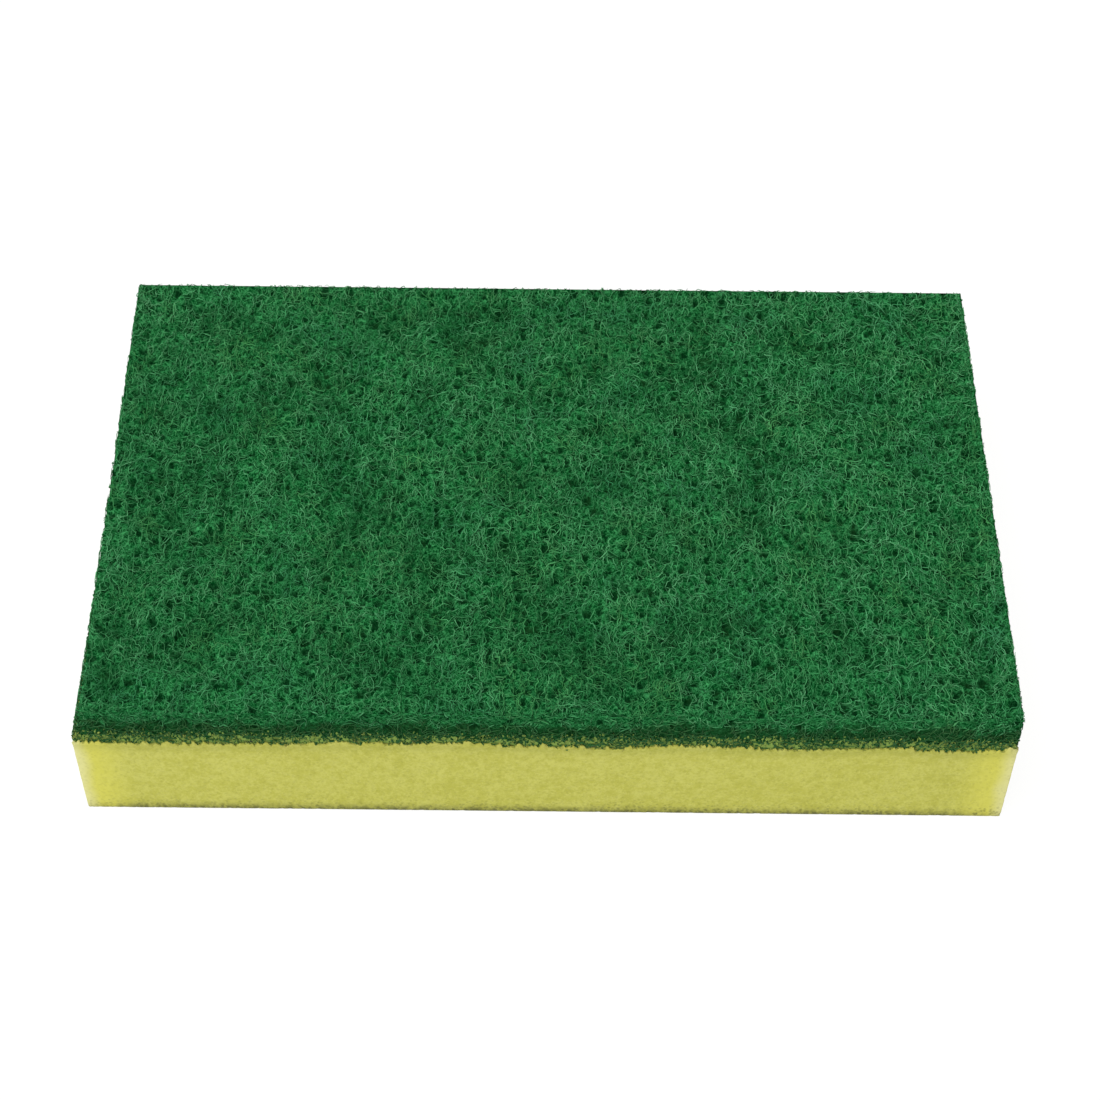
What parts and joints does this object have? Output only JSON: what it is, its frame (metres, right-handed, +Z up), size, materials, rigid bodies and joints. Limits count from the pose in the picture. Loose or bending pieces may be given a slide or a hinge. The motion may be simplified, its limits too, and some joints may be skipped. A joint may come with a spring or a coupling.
{
  "type": "scouring sponge",
  "caption": "Rectangular cleaning sponge: a soft yellow foam block with a coarse green nonwoven scouring pad glued over its whole upper face.",
  "frame": {"origin": "centre of the box's base: the middle of the foam's lower face", "axes": "+X along the sponge's length, +Y along its width away from the pictured front face, +Z up from the foam to the scouring pad"},
  "size_m": [0.14, 0.09, 0.025],
  "materials": {
    "foam": "fine open-cell polyurethane foam, sawn faces, matte",
    "glue": "set laminating glue with fibre ends in it, dull",
    "scouring_fibre": "lofty nonwoven of curled coarse fibres bonded with green resin, slight sheen on single fibres"
  },
  "bodies": {
    "root": {"foam_block": "foam", "glue_film": "glue", "scouring_pad": "scouring_fibre"}
  },
  "joints": []
}
